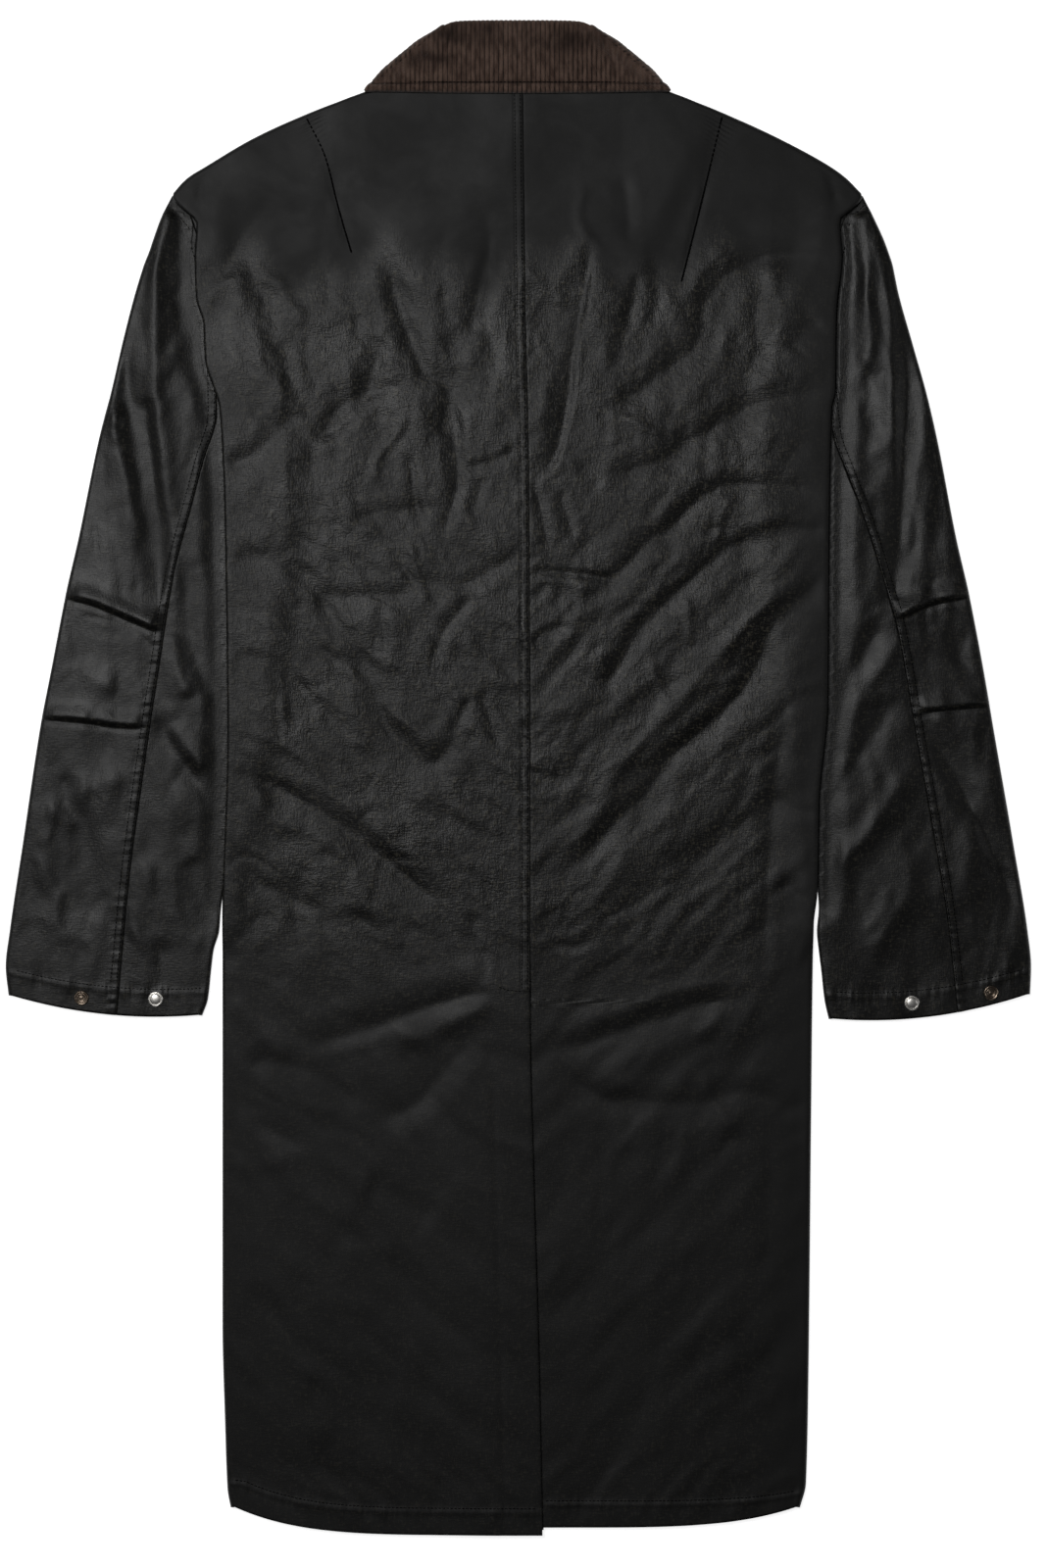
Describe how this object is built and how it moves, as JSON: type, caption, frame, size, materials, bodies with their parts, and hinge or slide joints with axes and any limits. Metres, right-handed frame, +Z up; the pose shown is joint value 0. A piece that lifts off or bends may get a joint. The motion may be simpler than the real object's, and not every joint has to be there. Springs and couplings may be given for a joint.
{
  "type": "waxed cotton coat",
  "caption": "Knee-length waxed cotton coat with a corduroy collar and a centre-back vent, laid flat with its back up",
  "frame": {"origin": "centre of the coat's outline, on the surface it lies on", "axes": "+Z up from the surface, +Y from the hem to the collar, +X to the right of the coat seen from above, which is the wearer's right"},
  "size_m": [0.8159, 1.2057, 0.012],
  "materials": {
    "waxed_cotton": "satin",
    "corduroy": "matte",
    "snap_metal": "brushed"
  },
  "bodies": {
    "root": {"back_left": "waxed_cotton", "front_left": "waxed_cotton", "top_sleeve_left": "waxed_cotton", "under_sleeve_left": "waxed_cotton", "back_right": "waxed_cotton", "front_right": "waxed_cotton", "top_sleeve_right": "waxed_cotton", "under_sleeve_right": "waxed_cotton", "collar_fall": "corduroy", "collar_stand": "corduroy", "snap_socket_left": "snap_metal", "snap_stud_left": "snap_metal", "snap_socket_right": "snap_metal", "snap_stud_right": "snap_metal"}
  },
  "joints": []
}
